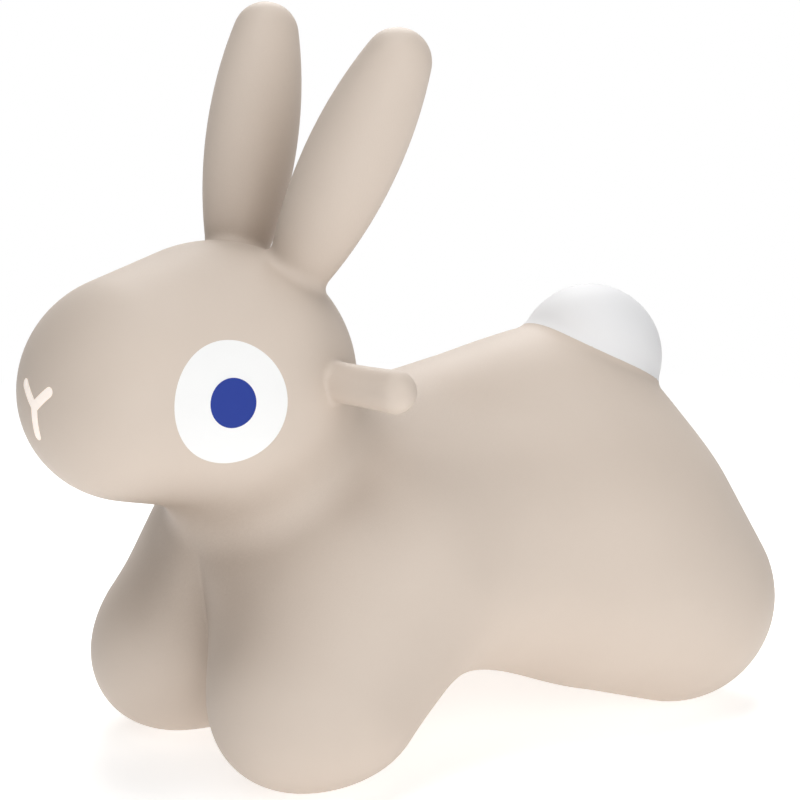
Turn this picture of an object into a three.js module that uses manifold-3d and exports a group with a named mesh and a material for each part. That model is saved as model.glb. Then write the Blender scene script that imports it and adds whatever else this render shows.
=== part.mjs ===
// Hopper rabbit: a riding toy blown up with air. A hollow moulded skin in swelling lobes, a push-in air plug,
// printed eyes and nose and a sprayed tail. Millimetres, +Z up, the face towards -Y, the rabbit's left at +X.
import * as THREE from "three";
import { mergeVertices } from "three/addons/utils/BufferGeometryUtils.js";
import loadManifold from "manifold-3d";

const manifold = await loadManifold();
manifold.setup();

// Skin: wall of the moulding, and how far the soft feet give under the toy's own weight
const WALL = 2;
const FOOT_FLAT = 2;

// Where the lobes of the skin part: in the neck's valley, and this far outside trunk and flanks at the legs
const HEAD_SEAM = 8.5;
const LEG_SEAM = 33;
const FLANK_SEAM = 14;
const SEAM_GAP = 0.3;

// Torso: a round taper from chest to rump, narrower than it is high
const CHEST_AT = new THREE.Vector3(0, -33, 128);
const CHEST_RADIUS = 111.5;
const RUMP_AT = new THREE.Vector3(0, 154, 169.5);
const RUMP_RADIUS = 91.5;
const TORSO_WIDTH = 0.85;

// Forelegs: a taper from shoulder to heel and a toe in front of it
const SHOULDER_AT = new THREE.Vector3(60.5, -42, 136);
const SHOULDER_RADIUS = 71.5;
const HEEL_AT = new THREE.Vector3(87, -101, 64);
const HEEL_RADIUS = 58;
const TOE_AT = new THREE.Vector3(73.5, -128.5, 53.5);
const TOE_RADIUS = 49;

// Hind legs: a taper from haunch to foot
const HAUNCH_AT = new THREE.Vector3(68, 148.5, 116);
const HAUNCH_RADIUS = 101.5;
const HIND_FOOT_AT = new THREE.Vector3(90, 194.5, 76);
const HIND_FOOT_RADIUS = 76;

// Flanks: a fullness between shoulder and haunch on each side, slimmer than the chest in front by the inset
const FLANK_FRONT_AT = new THREE.Vector3(58, -25, 144);
const FLANK_INSET = 45.5;
const FLANK_BACK_AT = new THREE.Vector3(67, 112, 128);
const FLANK_BACK_RADIUS = 84;

// The cleft down the middle of the chest, between the forelegs: it grows from start to full towards the front
// and runs out from full to top upwards
const CLEFT_DEPTH = 7;
const CLEFT_WIDTH = 34;
const CLEFT_START_Y = -60;
const CLEFT_FULL_Y = -130;
const CLEFT_FULL_Z = 100;
const CLEFT_TOP_Z = 180;

// Neck and head: an egg from skull to muzzle with a small chin
const NECK_AT = new THREE.Vector3(0, -100, 216);
const NECK_RADIUS = 54;
const SKULL_AT = new THREE.Vector3(0, -130.5, 269.5);
const SKULL_RADIUS = 90.5;
const MUZZLE_AT = new THREE.Vector3(0, -192.5, 274.5);
const MUZZLE_RADIUS = 73;
const CHIN_AT = new THREE.Vector3(0, -210.5, 265.5);
const CHIN_RADIUS = 51;
const HEAD_WIDTH = 1.07;

// Widths of the soft blends between these forms
const FORE_BLEND = 72;
const HIND_BLEND = 55;
const FLANK_BLEND = 30;
const NECK_BLEND = 24;
const HEAD_BLEND = 18;
const FORE_PAIR_BLEND = 10;
const HIND_PAIR_BLEND = 24;
const TOE_BLEND = 24;
const CHIN_BLEND = 30;

// Ears: swollen in the middle, set on the skull, splayed sideways and leaning back
const EAR_X = 35.4;
const EAR_Y = -88.8;
const EAR_SPLAY = 15.5;
const EAR_LEAN = 21;
const EAR_LENGTH = 174;
const EAR_ROOT_RADIUS = 19.8;
const EAR_MID_RADIUS = 31;
const EAR_TIP_RADIUS = 22.4;

// Hand grips: pegs on the cheeks behind the eyes, swept back, ending in a knob
const GRIP_Y = -97;
const GRIP_Z = 279.5;
const GRIP_SWEEP = 18;
const GRIP_LENGTH = 59;
const GRIP_ROOT_RADIUS = 13.4;
const GRIP_MID_RADIUS = 13.3;
const GRIP_KNOB_RADIUS = 14.3;

// Tail: a ball half sunk in the rump, seen from the rump's centre at this angle above level
const TAIL_ANGLE = 57;
const TAIL_RADIUS = 51.7;
const TAIL_SINK = 15;

// Air valve under the belly: a thick boss inside the skin, a bore and a pocket for the plug's head
const VALVE_Y = 45;
const BOSS_RADIUS = 17;
const BOSS_HEIGHT = 13;
const PLUG_HEAD_RADIUS = 10.5;
const PLUG_HEAD_HEIGHT = 2.6;
const PLUG_STEM_RADIUS = 4.6;
const PLUG_RIDGE_RADIUS = 5.2;
const PLUG_TIP_RADIUS = 3.4;
const PLUG_LENGTH = 17;
const PLUG_CLEARANCE = 0.3;

// Printed and sprayed films, drawn thick enough to handle
const FILM = 0.5;
const FILM_GAP = 0.4;
const EYE_Y = -178;
const EYE_Z = 277;
const EYE_WIDTH = 75.5;
const EYE_HEIGHT = 79.5;
const PUPIL_Y = -176.7;
const PUPIL_Z = 277.7;
const PUPIL_WIDTH = 30.4;
const PUPIL_HEIGHT = 32.2;
const NOSE_Z = 272.5;
const NOSE_STROKE = 6.8;
const NOSE_STEM = 19;
const NOSE_ARM = 17;
const NOSE_SPREAD = 48;

// Facets
const SKIN_CELL = 25;
const SEAM_CELL = 40;
const LIMB_STEP = 18;
const TIP_RINGS = 4;
const INNER_SIDES = 10;
const EAR_SIDES = 18;
const GRIP_SIDES = 14;
const TAIL_SIDES = 20;
const PLUG_SIDES = 20;
const EYE_SIDES = 22;
const EYE_RINGS = 3;
const PUPIL_SIDES = 18;
const PUPIL_RINGS = 2;

const radians = THREE.MathUtils.degToRad;
const mirrored = (p) => new THREE.Vector3(-p.x, p.y, p.z);
const squeezed = (p, width) => new THREE.Vector3(p.x / width, p.y, p.z);

// Distance to a ball that swells or shrinks along a line from a to b
function taper(p, a, b, ra, rb) {
  const axis = new THREE.Vector3().subVectors(b, a);
  const length = axis.length();
  const from = new THREE.Vector3().subVectors(p, a);
  const along = from.dot(axis) / length;
  const off = Math.sqrt(Math.max(from.lengthSq() - along * along, 0));
  const sine = THREE.MathUtils.clamp((ra - rb) / length, -0.999, 0.999);
  const lean = (off * sine) / Math.sqrt(1 - sine * sine);
  const t = THREE.MathUtils.clamp((along - lean) / length, 0, 1);
  return Math.hypot(off, along - t * length) - THREE.MathUtils.lerp(ra, rb, t);
}

// Joins two distances with a soft valley of the given width
function blend(a, b, width) {
  const h = Math.max(width - Math.abs(a - b), 0) / width;
  return Math.min(a, b) - (h * h * width) / 4;
}

function forelegField(p) {
  const leg = taper(p, SHOULDER_AT, HEEL_AT, SHOULDER_RADIUS, HEEL_RADIUS);
  return blend(leg, p.distanceTo(TOE_AT) - TOE_RADIUS, TOE_BLEND);
}

const hindLegField = (p) => taper(p, HAUNCH_AT, HIND_FOOT_AT, HAUNCH_RADIUS, HIND_FOOT_RADIUS);

const torso = (p) =>
  taper(squeezed(p, TORSO_WIDTH), CHEST_AT, RUMP_AT, CHEST_RADIUS, RUMP_RADIUS) * Math.min(TORSO_WIDTH, 1);

const flank = (p) => taper(p, FLANK_FRONT_AT, FLANK_BACK_AT, CHEST_RADIUS - FLANK_INSET, FLANK_BACK_RADIUS);

const flanks = (p) => Math.min(flank(p), flank(mirrored(p)));

const neck = (p) => taper(p, CHEST_AT, NECK_AT, CHEST_RADIUS * 0.9, NECK_RADIUS);

function cleft(p) {
  const inside = Math.max(1 - Math.abs(p.x) / CLEFT_WIDTH, 0);
  const forward = THREE.MathUtils.smoothstep(-p.y, -CLEFT_START_Y, -CLEFT_FULL_Y);
  const low = 1 - THREE.MathUtils.smoothstep(p.z, CLEFT_FULL_Z, CLEFT_TOP_Z);
  return CLEFT_DEPTH * inside * inside * forward * low;
}

function bodyField(p) {
  const q = mirrored(p);
  const fore = blend(forelegField(p), forelegField(q), FORE_PAIR_BLEND);
  const hind = blend(hindLegField(p), hindLegField(q), HIND_PAIR_BLEND);
  const trunk = blend(blend(torso(p), fore, FORE_BLEND), hind, HIND_BLEND);
  return blend(blend(trunk, flanks(p), FLANK_BLEND), neck(p), NECK_BLEND) + cleft(p);
}

function headField(p) {
  const q = squeezed(p, HEAD_WIDTH);
  const egg = taper(q, SKULL_AT, MUZZLE_AT, SKULL_RADIUS, MUZZLE_RADIUS);
  return blend(egg, q.distanceTo(CHIN_AT) - CHIN_RADIUS, CHIN_BLEND) * Math.min(HEAD_WIDTH, 1);
}

const hullField = (p) => blend(bodyField(p), headField(p), HEAD_BLEND);

function slope(field, p) {
  const e = 0.05;
  const step = (x, y, z) => field(new THREE.Vector3(p.x + x, p.y + y, p.z + z));
  const g = new THREE.Vector3(step(e, 0, 0), step(0, e, 0), step(0, 0, e));
  g.sub(new THREE.Vector3(step(-e, 0, 0), step(0, -e, 0), step(0, 0, -e)));
  return g.divideScalar(2 * e);
}

function pullOn(field, p) {
  for (let i = 0; i < 4; i++) {
    const g = slope(field, p);
    p.addScaledVector(g, -field(p) / Math.max(g.lengthSq(), 0.05));
  }
  return p;
}

// The first point of the surface on a straight line from outside
function meet(field, from, direction) {
  const p = from.clone();
  for (let i = 0; i < 200; i++) p.addScaledVector(direction, field(p) * 0.8);
  return p;
}

function solidOf(positions, indices) {
  const mesh = new manifold.Mesh({
    numProp: 3,
    vertProperties: new Float32Array(positions),
    triVerts: new Uint32Array(indices),
  });
  return new manifold.Manifold(mesh);
}

// A closed three.js geometry as a solid
function solidFrom(geometry) {
  const bare = geometry.clone();
  bare.deleteAttribute("normal");
  bare.deleteAttribute("uv");
  const whole = mergeVertices(bare, 1e-4);
  const index = [...whole.index.array];
  const kept = [];
  for (let i = 0; i < index.length; i += 3) {
    const [a, b, c] = index.slice(i, i + 3);
    if (a !== b && b !== c && c !== a) kept.push(a, b, c);
  }
  return solidOf(whole.attributes.position.array, kept);
}

// Skins a field on a grid round the whole toy: a vertex in each cell that the surface crosses and a face for
// each crossed edge. The vertices are then evened out along the surface.
function skinned(field, cell) {
  const reach = HAUNCH_AT.x + HAUNCH_RADIUS + HIND_FOOT_RADIUS;
  const back = HIND_FOOT_AT.y + 2 * HIND_FOOT_RADIUS;
  const low = new THREE.Vector3(-reach, MUZZLE_AT.y - 2 * MUZZLE_RADIUS, -HIND_FOOT_RADIUS);
  const high = new THREE.Vector3(reach, back, SKULL_AT.z + 2 * SKULL_RADIUS);
  const axes = [0, 1, 2];
  const span = axes.map((k) => high.getComponent(k) - low.getComponent(k));
  const n = span.map((s) => Math.ceil(s / cell) + 1);
  const start = axes.map((k) => low.getComponent(k) + (span[k] - (n[k] - 1) * cell) / 2);
  const id = (c) => (c[2] * n[1] + c[1]) * n[0] + c[0];
  const point = (c) => new THREE.Vector3(...c.map((v, k) => start[k] + v * cell));
  const shifted = (c, k, by) => c.map((v, m) => (m === k ? v + by : v));
  const corners = [];
  for (let k = 0; k < n[2]; k++)
    for (let j = 0; j < n[1]; j++)
      for (let i = 0; i < n[0]; i++) corners.push([i, j, k]);
  const value = corners.map((c) => field(point(c)));
  const cut = (c, k) => c[k] + 1 < n[k] && value[id(c)] < 0 !== value[id(shifted(c, k, 1))] < 0;
  const vertices = [];
  const vertexOf = new Map();
  for (const c of corners) {
    if (axes.some((k) => c[k] + 1 >= n[k])) continue;
    const sum = new THREE.Vector3();
    let count = 0;
    for (const k of axes)
      for (const [a, b] of [[0, 0], [1, 0], [0, 1], [1, 1]]) {
        const from = shifted(shifted(c, (k + 1) % 3, a), (k + 2) % 3, b);
        if (!cut(from, k)) continue;
        const to = shifted(from, k, 1);
        const t = value[id(from)] / (value[id(from)] - value[id(to)]);
        sum.add(point(from).lerp(point(to), t));
        count++;
      }
    if (!count) continue;
    vertexOf.set(id(c), vertices.length);
    vertices.push(pullOn(field, sum.divideScalar(count)));
  }
  const quads = [];
  for (const c of corners)
    for (const k of axes) {
      if (!cut(c, k)) continue;
      const cells = [[-1, -1], [0, -1], [0, 0], [-1, 0]].map(([a, b]) =>
        vertexOf.get(id(shifted(shifted(c, (k + 1) % 3, a), (k + 2) % 3, b))));
      quads.push(value[id(c)] < 0 ? cells : cells.reverse());
    }
  const near = vertices.map(() => new Set());
  for (const q of quads) q.forEach((v, m) => near[v].add(q[(m + 1) % 4]).add(q[(m + 3) % 4]));
  for (let round = 0; round < 6; round++) {
    const means = near.map((set) => {
      const mean = new THREE.Vector3();
      for (const v of set) mean.add(vertices[v]);
      return mean.divideScalar(set.size);
    });
    vertices.forEach((p, v) => pullOn(field, p.lerp(means[v], 0.6)));
  }
  const faces = quads.flatMap(([a, b, c, d]) => {
    const short = vertices[a].distanceTo(vertices[c]) < vertices[b].distanceTo(vertices[d]);
    return short ? [a, b, c, a, c, d] : [a, b, d, b, c, d];
  });
  return { field, vertices, faces };
}

// The solid inside a skin, with every vertex moved out by a distance, or in by a negative one
function grown({ field, vertices, faces }, distance) {
  const moved = vertices.map((p) => p.clone().addScaledVector(slope(field, p).normalize(), distance));
  return solidOf(moved.flatMap((p) => p.toArray()), faces);
}

// A limb turned about a straight axis: the hull of a ball whose radius follows a parabola from root to tip.
// It starts below the root by the sink and is thinner all over by the inset.
function limb(root, direction, length, radii, sides, sink, inset) {
  const [rootRadius, midRadius, tipRadius] = radii;
  const reach = length - tipRadius;
  const bend = (rootRadius + tipRadius) / 2 - midRadius;
  const tilt = (tipRadius - rootRadius) / 2;
  const radius = (s) => midRadius + tilt * (2 * s / reach - 1) + bend * (2 * s / reach - 1) ** 2 - inset;
  const change = (s) => (2 / reach) * (tilt + 2 * bend * (2 * s / reach - 1));
  const profile = [new THREE.Vector2(0, -sink)];
  const steps = Math.max(4, Math.round(reach / LIMB_STEP));
  for (let i = 0; i <= steps; i++) {
    const s = -sink + ((reach + sink) * i) / steps;
    const c = change(s);
    const y = i ? s - radius(s) * c : -sink;
    profile.push(new THREE.Vector2(radius(s) * Math.sqrt(1 - c * c), y));
  }
  const last = Math.asin(-change(reach));
  for (let i = 1; i <= TIP_RINGS; i++) {
    const angle = THREE.MathUtils.lerp(last, Math.PI / 2, i / TIP_RINGS);
    const x = i < TIP_RINGS ? radius(reach) * Math.cos(angle) : 0;
    profile.push(new THREE.Vector2(x, reach + radius(reach) * Math.sin(angle)));
  }
  const geometry = new THREE.LatheGeometry(profile, sides);
  geometry.applyQuaternion(new THREE.Quaternion().setFromUnitVectors(new THREE.Vector3(0, 1, 0), direction));
  geometry.translate(root.x, root.y, root.z);
  return solidFrom(geometry);
}

function disc(radius, from, to, sides) {
  const geometry = new THREE.CylinderGeometry(radius, radius, to - from, sides);
  geometry.rotateX(Math.PI / 2);
  geometry.translate(0, VALVE_Y, (from + to) / 2);
  return solidFrom(geometry);
}

const onRight = (solid) => solid.mirror([1, 0, 0]);

// Where the pieces sit on the hull
const up = new THREE.Vector3(0, 0, 1);
const down = new THREE.Vector3(0, 0, -1);
const right = new THREE.Vector3(-1, 0, 0);
const earAxis = new THREE.Vector3(Math.tan(radians(EAR_SPLAY)), Math.tan(radians(EAR_LEAN)), 1).normalize();
const earRoot = meet(hullField, new THREE.Vector3(EAR_X, EAR_Y, 4 * SKULL_AT.z), down);
const earRadii = [EAR_ROOT_RADIUS, EAR_MID_RADIUS, EAR_TIP_RADIUS];
const gripAxis = new THREE.Vector3(Math.cos(radians(GRIP_SWEEP)), Math.sin(radians(GRIP_SWEEP)), 0);
const gripRoot = meet(hullField, new THREE.Vector3(4 * SKULL_RADIUS, GRIP_Y, GRIP_Z), right);
const gripRadii = [GRIP_ROOT_RADIUS, GRIP_MID_RADIUS, GRIP_KNOB_RADIUS];
const tailAxis = new THREE.Vector3(0, Math.cos(radians(TAIL_ANGLE)), Math.sin(radians(TAIL_ANGLE)));
const aboveTail = RUMP_AT.clone().addScaledVector(tailAxis, 4 * RUMP_RADIUS);
const tailAt = meet(hullField, aboveTail, tailAxis.clone().negate());
tailAt.addScaledVector(tailAxis, -TAIL_SINK);
const belly = meet(bodyField, new THREE.Vector3(0, VALVE_Y, -CHEST_RADIUS), up);

function tailBall(radius, sides) {
  const geometry = new THREE.SphereGeometry(radius, sides, Math.round(sides * 0.6));
  geometry.rotateX(Math.PI / 2 - radians(TAIL_ANGLE) + Math.PI);
  geometry.translate(tailAt.x, tailAt.y, tailAt.z);
  return solidFrom(geometry);
}

// The quarter of space that holds one leg: on a side of the middle plane, between two places along the toy
function quarter(side, from, to) {
  const far = 10 * HAUNCH_RADIUS;
  const geometry = new THREE.BoxGeometry(far, to - from - SEAM_GAP, far);
  geometry.translate((side * (far + SEAM_GAP)) / 2, (from + to) / 2, 0);
  return solidFrom(geometry);
}

const earForm = (inset, sides) =>
  limb(earRoot, earAxis, EAR_LENGTH, earRadii, sides, EAR_ROOT_RADIUS, inset);
const gripForm = (inset, sides) =>
  limb(gripRoot, gripAxis, GRIP_LENGTH, gripRadii, sides, GRIP_ROOT_RADIUS, inset);

// A printed film: a sheet of flat points, each laid on the hull, with a back and a rim
function film(flat, faces, lift, lay) {
  const positions = [];
  for (const height of [lift, lift + FILM])
    for (const point of flat) {
      const on = lay(point);
      positions.push(...on.addScaledVector(slope(hullField, on).normalize(), height).toArray());
    }
  const count = flat.length;
  const indices = faces.flatMap(([a, b, c]) => [count + a, count + b, count + c, a, c, b]);
  const edges = faces.flatMap(([a, b, c]) => [[a, b], [b, c], [c, a]]);
  const known = new Set(edges.map(([a, b]) => `${a},${b}`));
  for (const [a, b] of edges)
    if (!known.has(`${b},${a}`)) indices.push(a, b, count + b, a, count + b, count + a);
  return solidOf(positions, indices);
}

// An oval in the plane that touches the hull at a point, laid down square to it
function ovalFilm(at, width, height, lift, sides, rings) {
  const out = slope(hullField, at).normalize();
  const across = new THREE.Vector3().crossVectors(up, out).normalize();
  const rise = new THREE.Vector3().crossVectors(out, across);
  const flat = [new THREE.Vector2()];
  for (let r = 1; r <= rings; r++)
    for (let k = 0; k < sides; k++) {
      const angle = (2 * Math.PI * k) / sides;
      const share = r / rings / 2;
      flat.push(new THREE.Vector2(width * share * Math.cos(angle), height * share * Math.sin(angle)));
    }
  const id = (r, k) => (r ? 1 + (r - 1) * sides + (k % sides) : 0);
  const faces = [];
  for (let r = 0; r < rings; r++)
    for (let k = 0; k < sides; k++) {
      const [a, b, c, d] = [id(r, k), id(r + 1, k), id(r + 1, k + 1), id(r, k + 1)];
      faces.push([a, b, c]);
      if (r) faces.push([a, c, d]);
    }
  const over = at.clone().addScaledVector(out, width);
  const inward = out.clone().negate();
  const lay = ({ x, y }) =>
    meet(hullField, over.clone().addScaledVector(across, x).addScaledVector(rise, y), inward);
  return film(flat, faces, lift, lay);
}

// The nose mark: three strokes with round ends that meet in a Y, laid on the muzzle's facets from the front
function noseFilm({ vertices, faces: skinFaces }) {
  const half = NOSE_STROKE / 2;
  const upright = Math.PI / 2;
  const spread = radians(NOSE_SPREAD);
  const turns = [-upright, upright - spread, upright + spread];
  const lengths = [NOSE_STEM, NOSE_ARM, NOSE_ARM];
  const flat = [];
  const faces = [[0, 1, 2]];
  const put = (turn, along, off) => {
    const axis = new THREE.Vector2(Math.cos(turn), Math.sin(turn));
    flat.push(new THREE.Vector2(axis.x * along - axis.y * off, axis.y * along + axis.x * off));
    return flat.length - 1;
  };
  const angleAfter = (k) => (turns[(k + 1) % 3] - turns[k] + 2 * Math.PI) % (2 * Math.PI);
  const corners = turns.map((turn, k) => half / Math.tan(angleAfter(k) / 2));
  turns.forEach((turn, k) => put(turn, corners[k], half));
  turns.forEach((turn, k) => {
    const steps = Math.ceil(lengths[k] / NOSE_STROKE);
    let last = [(k + 2) % 3, k];
    const widen = (alongRight, alongLeft, off) => {
      const next = [put(turn, alongRight, -off), put(turn, alongLeft, off)];
      faces.push([last[0], next[0], next[1]], [last[0], next[1], last[1]]);
      last = next;
    };
    for (let i = 1; i <= steps; i++)
      widen(...[(k + 2) % 3, k].map((c) => THREE.MathUtils.lerp(corners[c], lengths[k], i / steps)), half);
    for (const angle of [Math.PI / 6, Math.PI / 3]) {
      const along = lengths[k] + half * Math.sin(angle);
      widen(along, along, half * Math.cos(angle));
    }
    faces.push([last[0], put(turn, lengths[k] + half, 0), last[1]]);
  });
  const facets = new THREE.Mesh(new THREE.BufferGeometry().setFromPoints(vertices).setIndex(skinFaces));
  const lay = ({ x, y }) => {
    const from = new THREE.Vector3(x, MUZZLE_AT.y - 3 * MUZZLE_RADIUS, NOSE_Z + y);
    return new THREE.Raycaster(from, new THREE.Vector3(0, 1, 0)).intersectObject(facets)[0].point;
  };
  return film(flat, faces, 2 * FILM_GAP, lay);
}

// The plug: a domed head, a stem with two holding ridges and a tapered tip, turned about the valve's axis
function plugSolid(seat) {
  const ridge = PLUG_LENGTH / 5;
  const lip = PLUG_HEAD_HEIGHT / 4;
  const profile = [
    [0, -PLUG_HEAD_HEIGHT],
    [PLUG_HEAD_RADIUS - 2 * lip, -PLUG_HEAD_HEIGHT + lip / 3],
    [PLUG_HEAD_RADIUS - lip / 2, -PLUG_HEAD_HEIGHT + lip],
    [PLUG_HEAD_RADIUS, -PLUG_HEAD_HEIGHT + 2 * lip],
    [PLUG_HEAD_RADIUS, 0],
    [PLUG_STEM_RADIUS, 0],
    [PLUG_STEM_RADIUS, ridge],
    [PLUG_RIDGE_RADIUS, 1.3 * ridge],
    [PLUG_STEM_RADIUS, 1.9 * ridge],
    [PLUG_STEM_RADIUS, 2.4 * ridge],
    [PLUG_RIDGE_RADIUS, 2.7 * ridge],
    [PLUG_STEM_RADIUS, 3.3 * ridge],
    [PLUG_TIP_RADIUS, PLUG_LENGTH],
    [0, PLUG_LENGTH],
  ].map(([x, y]) => new THREE.Vector2(x, y));
  const geometry = new THREE.LatheGeometry(profile, PLUG_SIDES);
  geometry.rotateX(Math.PI / 2);
  geometry.translate(0, VALVE_Y, seat);
  return solidFrom(geometry);
}

// The hollow: the same forms, a wall further in
const skin = skinned(hullField, SKIN_CELL);
const earHollow = earForm(WALL, INNER_SIDES);
const gripHollow = gripForm(WALL, INNER_SIDES);
const hollow = [earHollow, onRight(earHollow), gripHollow, onRight(gripHollow)]
  .reduce((sum, solid) => sum.add(solid), grown(skin, -WALL))
  .add(tailBall(TAIL_RADIUS - WALL, INNER_SIDES));

// The valve's boss and bore, and the floor that the feet press flat
const seat = belly.z + PLUG_HEAD_HEIGHT;
const underside = belly.z - PLUG_LENGTH;
const hull = grown(skin, 0);
const boss = disc(BOSS_RADIUS, underside, belly.z + BOSS_HEIGHT, PLUG_SIDES).intersect(hull);
const pocket = disc(PLUG_HEAD_RADIUS + PLUG_CLEARANCE, underside, seat, PLUG_SIDES);
const bore = disc(PLUG_RIDGE_RADIUS + PLUG_CLEARANCE, underside, belly.z + 2 * BOSS_HEIGHT, PLUG_SIDES);
const floor = new THREE.BoxGeometry(4 * HAUNCH_RADIUS, 12 * HAUNCH_RADIUS, 2 * HAUNCH_RADIUS);
floor.translate(0, 0, FOOT_FLAT - HAUNCH_RADIUS);
const shell = hull.subtract(hollow).add(boss).subtract(pocket).subtract(bore).subtract(solidFrom(floor));

// The lobes: the head parts from the trunk in the neck's valley, the legs outside the trunk's form
const headRegion = skinned((p) => headField(p) - HEAD_SEAM, SEAM_CELL);
const trunkField = (p) => Math.min(torso(p) - LEG_SEAM, neck(p) - LEG_SEAM, flanks(p) - FLANK_SEAM);
const trunkRegion = skinned(trunkField, SEAM_CELL);
const head = shell.intersect(grown(headRegion, 0));
const rest = shell.subtract(grown(headRegion, SEAM_GAP));
const body = rest.intersect(grown(trunkRegion, 0));
const legs = rest.subtract(grown(trunkRegion, SEAM_GAP));
const far = 10 * CHEST_RADIUS;
const legSplit = (SHOULDER_AT.y + HAUNCH_AT.y) / 2 - (HAUNCH_RADIUS - SHOULDER_RADIUS);
const foreleg = (side) => legs.intersect(quarter(side, -far, legSplit));
const hindLeg = (side) => legs.intersect(quarter(side, legSplit, far));

// Ears, grips and tail are hollow lobes that stand on the hull
const around = grown(skin, SEAM_GAP);
const onHull = (solid) => solid.subtract(hollow).subtract(around);
const ear = earForm(0, EAR_SIDES);
const grip = gripForm(0, GRIP_SIDES);
const tail = onHull(tailBall(TAIL_RADIUS, TAIL_SIDES));

// The sprayed tail: a thin shell round the tail, down to the crease with the rump
const tailInside = tailBall(TAIL_RADIUS + FILM_GAP, TAIL_SIDES);
const tailCoat = tailBall(TAIL_RADIUS + FILM_GAP + FILM, TAIL_SIDES).subtract(tailInside).subtract(around);

const eyeAt = meet(hullField, new THREE.Vector3(4 * SKULL_RADIUS, EYE_Y, EYE_Z), right);
const pupilAt = meet(hullField, new THREE.Vector3(4 * SKULL_RADIUS, PUPIL_Y, PUPIL_Z), right);
const eyeWhite = ovalFilm(eyeAt, EYE_WIDTH, EYE_HEIGHT, FILM_GAP, EYE_SIDES, EYE_RINGS);
const pupil = ovalFilm(pupilAt, PUPIL_WIDTH, PUPIL_HEIGHT, 2 * FILM_GAP + FILM, PUPIL_SIDES, PUPIL_RINGS);

const beige = new THREE.MeshStandardMaterial({ color: "#d0c2b5", roughness: 0.55, metalness: 0 });
const white = new THREE.MeshStandardMaterial({ color: "#f4f4f2", roughness: 0.5, metalness: 0 });
const blue = new THREE.MeshStandardMaterial({ color: "#344b9b", roughness: 0.45, metalness: 0 });
const cream = new THREE.MeshStandardMaterial({ color: "#fdf0e6", roughness: 0.5, metalness: 0 });

const rabbit = new THREE.Group();
rabbit.name = "hopper_rabbit";

function place(name, solid, material) {
  const { vertProperties, triVerts } = solid.getMesh();
  const geometry = new THREE.BufferGeometry();
  geometry.setAttribute("position", new THREE.BufferAttribute(vertProperties, 3));
  geometry.setIndex(new THREE.BufferAttribute(triVerts, 1));
  geometry.computeVertexNormals();
  const mesh = new THREE.Mesh(geometry, material);
  mesh.name = name;
  rabbit.add(mesh);
}

place("body", body, beige);
place("head", head, beige);
for (const [name, side] of [["left", 1], ["right", -1]]) {
  const sided = (solid) => (side > 0 ? solid : onRight(solid));
  place(`foreleg_${name}`, foreleg(side), beige);
  place(`hind_leg_${name}`, hindLeg(side), beige);
  place(`ear_${name}`, onHull(sided(ear)), beige);
  place(`grip_${name}`, onHull(sided(grip)), beige);
  place(`eye_white_${name}`, sided(eyeWhite), white);
  place(`pupil_${name}`, sided(pupil), blue);
}
place("tail", tail, beige);
place("tail_coat", tailCoat, white);
place("nose_mark", noseFilm(skin), cream);
place("valve_plug", plugSolid(seat - PLUG_CLEARANCE), beige);

// Stands on the feet, centred over the floor
const box = new THREE.Box3().setFromObject(rabbit);
rabbit.position.set(0, -(box.min.y + box.max.y) / 2, -FOOT_FLAT);

export default rabbit;
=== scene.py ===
"""Hopper rabbit: the looks of an air-filled riding toy.

One seamless moulded skin with printed eyes and nose, a sprayed tail and an air plug under the belly.
Metres, +Z up, the face towards -Y, the rabbit's left at +X.
"""
import math

import bmesh
import bpy
import numpy as np
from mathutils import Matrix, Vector


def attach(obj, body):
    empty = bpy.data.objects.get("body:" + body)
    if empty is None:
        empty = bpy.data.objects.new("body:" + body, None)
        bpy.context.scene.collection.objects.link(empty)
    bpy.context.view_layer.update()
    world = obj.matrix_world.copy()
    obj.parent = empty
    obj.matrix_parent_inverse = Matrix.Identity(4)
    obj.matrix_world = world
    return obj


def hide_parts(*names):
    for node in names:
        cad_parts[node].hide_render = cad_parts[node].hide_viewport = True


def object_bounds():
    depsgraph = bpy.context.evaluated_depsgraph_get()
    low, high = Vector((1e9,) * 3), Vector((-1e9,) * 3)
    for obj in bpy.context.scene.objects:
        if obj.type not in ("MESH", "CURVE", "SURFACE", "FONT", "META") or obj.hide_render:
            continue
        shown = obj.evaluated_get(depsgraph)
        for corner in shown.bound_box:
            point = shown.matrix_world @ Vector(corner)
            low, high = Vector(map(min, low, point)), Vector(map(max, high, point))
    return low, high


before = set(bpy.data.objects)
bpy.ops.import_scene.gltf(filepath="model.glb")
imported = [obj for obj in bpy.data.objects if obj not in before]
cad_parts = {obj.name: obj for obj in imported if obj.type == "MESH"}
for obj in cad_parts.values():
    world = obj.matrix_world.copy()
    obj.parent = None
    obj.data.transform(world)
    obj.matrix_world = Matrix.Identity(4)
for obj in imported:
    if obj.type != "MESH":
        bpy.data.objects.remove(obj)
cad_low, cad_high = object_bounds()

# Place of the form in the frame: the feet give a little, and the box is centred over the floor
FORM_SHIFT = np.array([0.0, 0.0002, -0.002])

# Torso: a round taper from chest to rump, narrower than it is high
CHEST_AT, CHEST_RADIUS = np.array([0, -0.033, 0.128]), 0.1115
RUMP_AT, RUMP_RADIUS = np.array([0, 0.154, 0.1695]), 0.0915
TORSO_WIDTH = 0.85

# Flanks: a fullness between shoulder and haunch on each side
FLANK_FRONT_AT, FLANK_FRONT_RADIUS = np.array([0.058, -0.025, 0.144]), 0.066
FLANK_BACK_AT, FLANK_BACK_RADIUS = np.array([0.067, 0.112, 0.128]), 0.084

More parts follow.
